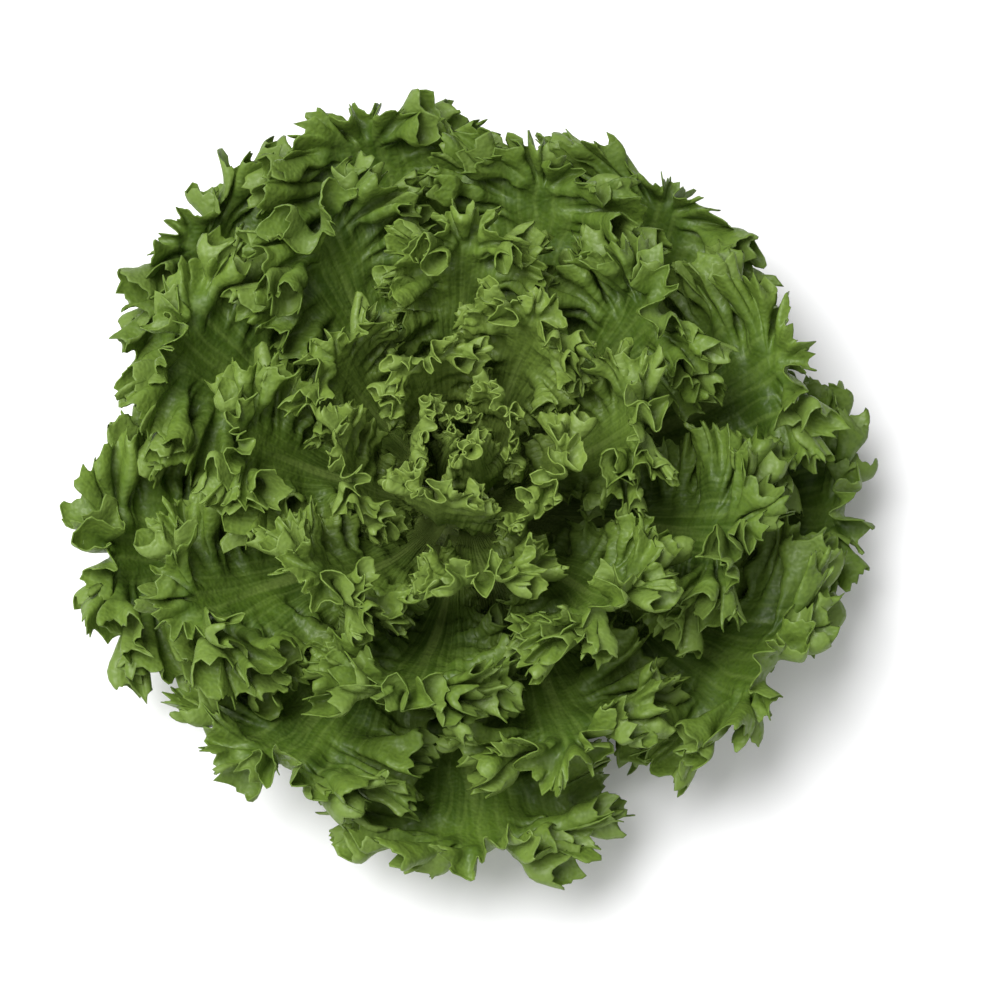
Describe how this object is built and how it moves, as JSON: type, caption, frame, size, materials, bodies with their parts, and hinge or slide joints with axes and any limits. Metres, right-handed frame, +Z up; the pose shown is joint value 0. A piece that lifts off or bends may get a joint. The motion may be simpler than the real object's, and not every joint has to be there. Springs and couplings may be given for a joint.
{
  "type": "green leaf lettuce head",
  "caption": "Head of green leaf lettuce: a spiral of frilled, toothed leaves on a short cut stem, spread flat and round, resting on the cut face.",
  "frame": {"origin": "centre of the stem's flat cut face, on the surface that the head stands on", "axes": "+Z up along the stem towards the heart; X and Y lie in the resting plane, with -Y towards the viewer of the picture"},
  "size_m": [0.2216, 0.2256, 0.083],
  "materials": {
    "leaf": "fresh green leaf, waxy satin with paler ribs and veins",
    "heart_leaf": "young yellow-green leaf, waxy satin",
    "stem": "pale moist cut stem, satin"
  },
  "bodies": {
    "root": {"stem": "stem", "leaf_01": "leaf", "leaf_02": "leaf", "leaf_03": "leaf", "leaf_04": "leaf", "leaf_05": "leaf", "leaf_06": "leaf", "leaf_07": "leaf", "leaf_08": "leaf", "leaf_09": "leaf", "leaf_10": "leaf", "leaf_11": "leaf", "leaf_12": "leaf", "leaf_13": "leaf", "leaf_14": "leaf", "leaf_15": "leaf", "leaf_16": "leaf", "leaf_17": "leaf", "leaf_18": "leaf", "leaf_19": "leaf", "leaf_20": "leaf", "leaf_21": "leaf", "leaf_22": "leaf", "leaf_23": "leaf", "leaf_24": "leaf", "leaf_25": "heart_leaf", "leaf_26": "heart_leaf", "leaf_27": "heart_leaf", "leaf_28": "heart_leaf", "leaf_29": "heart_leaf", "leaf_30": "heart_leaf", "leaf_31": "heart_leaf", "leaf_32": "heart_leaf", "leaf_33": "heart_leaf", "leaf_34": "heart_leaf"}
  },
  "joints": []
}
